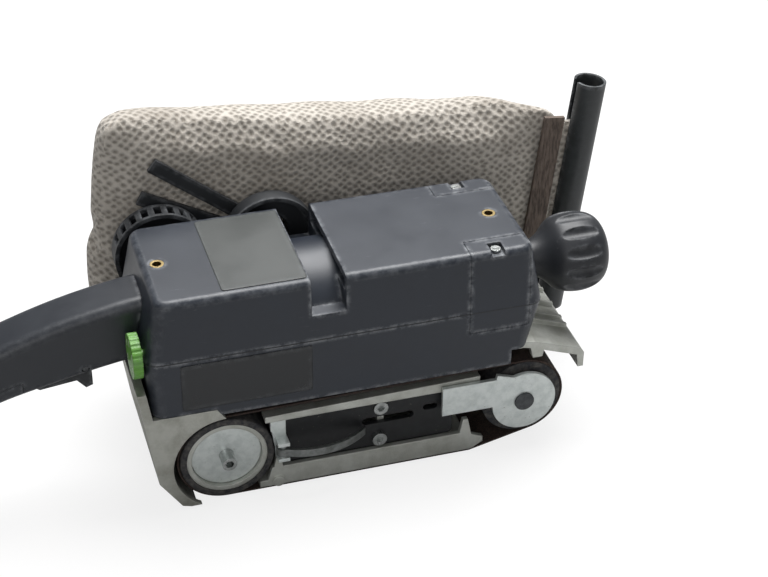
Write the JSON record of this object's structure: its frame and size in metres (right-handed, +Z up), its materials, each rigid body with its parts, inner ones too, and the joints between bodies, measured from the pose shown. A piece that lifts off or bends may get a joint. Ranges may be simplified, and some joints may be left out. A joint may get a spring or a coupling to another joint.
{
  "type": "electric hand belt sander",
  "caption": "Hand-held electric belt sander with stick handle, round front knob, geared motor, cantilever belt drums, belt tension lever and side dust bag.",
  "frame": {"origin": "centre of the sanding sole, on the sanding belt's underside", "axes": "+X towards the front knob, +Y towards the drive belt and dust bag, +Z up"},
  "size_m": [0.4411, 0.1698, 0.2001],
  "materials": {
    "housing_plastic": "satin",
    "grip_plastic": "satin",
    "black_plastic": "satin",
    "green_plastic": "satin",
    "label_film": "matte",
    "cast_aluminium": "matte",
    "zinc_steel": "satin",
    "dark_steel": "satin",
    "bearing_steel": "polished",
    "black_paint": "satin",
    "brass": "satin",
    "tyre_rubber": "matte",
    "belt_cloth": "matte",
    "bag_fabric": "matte",
    "graphite": "matte",
    "copper": "satin",
    "circuit_board": "satin"
  },
  "bodies": {
    "chassis": {"bag_clip": "black_plastic", "ball_bearings": "bearing_steel", "bearing_plates": "black_plastic", "belt_cover": "black_plastic", "brush_cover_far": "housing_plastic", "brush_cover_near": "housing_plastic", "brush_holders": "brass", "brushes": "graphite", "cord_inlet": "black_plastic", "cover_screws": "zinc_steel", "dust_elbow": "black_plastic", "fork_spring": "dark_steel", "frame_screws": "zinc_steel", "front_knob": "black_plastic", "handle_cover": "grip_plastic", "handle_grip": "grip_plastic", "inner_plate": "black_paint", "knob_bolt": "zinc_steel", "lever_bracket": "zinc_steel", "lower_housing": "housing_plastic", "main_frame": "cast_aluminium", "nose_guard": "cast_aluminium", "platen_pad": "graphite", "platen_shoe": "cast_aluminium", "rear_guard": "cast_aluminium", "sanding_belt": "belt_cloth", "side_label": "label_film", "speed_board": "circuit_board", "stator": "dark_steel", "switch_block": "black_plastic", "thread_inserts": "brass", "toothed_belt": "tyre_rubber", "top_label": "label_film", "upper_housing": "housing_plastic", "upper_rail": "cast_aluminium"},
    "motor_rotor": {"rotor_shaft": "dark_steel", "armature": "dark_steel", "commutator": "copper", "fan": "black_plastic", "pinion": "dark_steel"},
    "cross_drive": {"cross_shaft": "dark_steel", "crown_gear": "dark_steel", "cross_pulley": "dark_steel"},
    "drive_drum": {"drum_core": "cast_aluminium", "drum_tyre": "tyre_rubber", "drum_dish": "zinc_steel", "drum_shaft": "zinc_steel", "drum_pulley": "dark_steel"},
    "tension_fork": {"front_fork": "zinc_steel", "roller_axle": "zinc_steel"},
    "front_roller": {"roller": "cast_aluminium", "roller_bearings": "bearing_steel"},
    "lever": {"tension_lever": "zinc_steel"},
    "switch_trigger": {"trigger": "black_plastic"},
    "dial": {"speed_dial": "green_plastic"},
    "bag": {"dust_bag": "bag_fabric", "bag_collar": "black_plastic", "clamp_strip": "black_plastic"},
    "tube": {"clamp_tube": "black_plastic"}
  },
  "joints": [
    {"name": "rotor_spin", "type": "hinge", "parent": "chassis", "child": "motor_rotor", "pos_m": [0, 0, 0.1], "axis": [1, 0, 0], "continuous": true},
    {"name": "cross_spin", "type": "hinge", "parent": "chassis", "child": "cross_drive", "pos_m": [-0.1015, 0, 0.1], "axis": [0, 1, 0], "continuous": true},
    {"name": "drum_spin", "type": "hinge", "parent": "chassis", "child": "drive_drum", "pos_m": [-0.0845, 0, 0.0294], "axis": [0, 1, 0], "continuous": true},
    {"name": "fork_slide", "type": "slide", "parent": "chassis", "child": "tension_fork", "axis": [-0.9723, 0, -0.2338], "range_m": [0, 0.006]},
    {"name": "roller_spin", "type": "hinge", "parent": "tension_fork", "child": "front_roller", "pos_m": [0.0973, 0, 0.0348], "axis": [0, 1, 0], "continuous": true},
    {"name": "lever_turn", "type": "hinge", "parent": "chassis", "child": "lever", "pos_m": [-0.0525, -0.044, 0.032], "axis": [0, 0, -1], "range_deg": [0, 70]},
    {"name": "trigger_press", "type": "hinge", "parent": "chassis", "child": "switch_trigger", "pos_m": [-0.158, 0, 0.0915], "axis": [0, 1, 0], "range_deg": [0, 7], "stiffness_Nm_per_rad": 0.6, "springref_deg": -4.58},
    {"name": "dial_turn", "type": "hinge", "parent": "chassis", "child": "dial", "pos_m": [-0.135, -0.0305, 0.1067], "axis": [1, 0, 0], "range_deg": [0, 280]},
    {"name": "bag_slide", "type": "slide", "parent": "chassis", "child": "bag", "axis": [0, 1, 0], "range_m": [0, 0.06]},
    {"name": "tube_slide", "type": "slide", "parent": "bag", "child": "tube", "axis": [0.1097, 0, 0.994], "range_m": [0, 0.15]}
  ],
  "couplings": [
    {"joint": "cross_spin", "follows": "rotor_spin", "ratio": -0.5},
    {"joint": "drum_spin", "follows": "rotor_spin", "ratio": -0.25},
    {"joint": "roller_spin", "follows": "rotor_spin", "ratio": -0.28012},
    {"joint": "lever_turn", "follows": "fork_slide", "rad_per_m": 203.62}
  ]
}
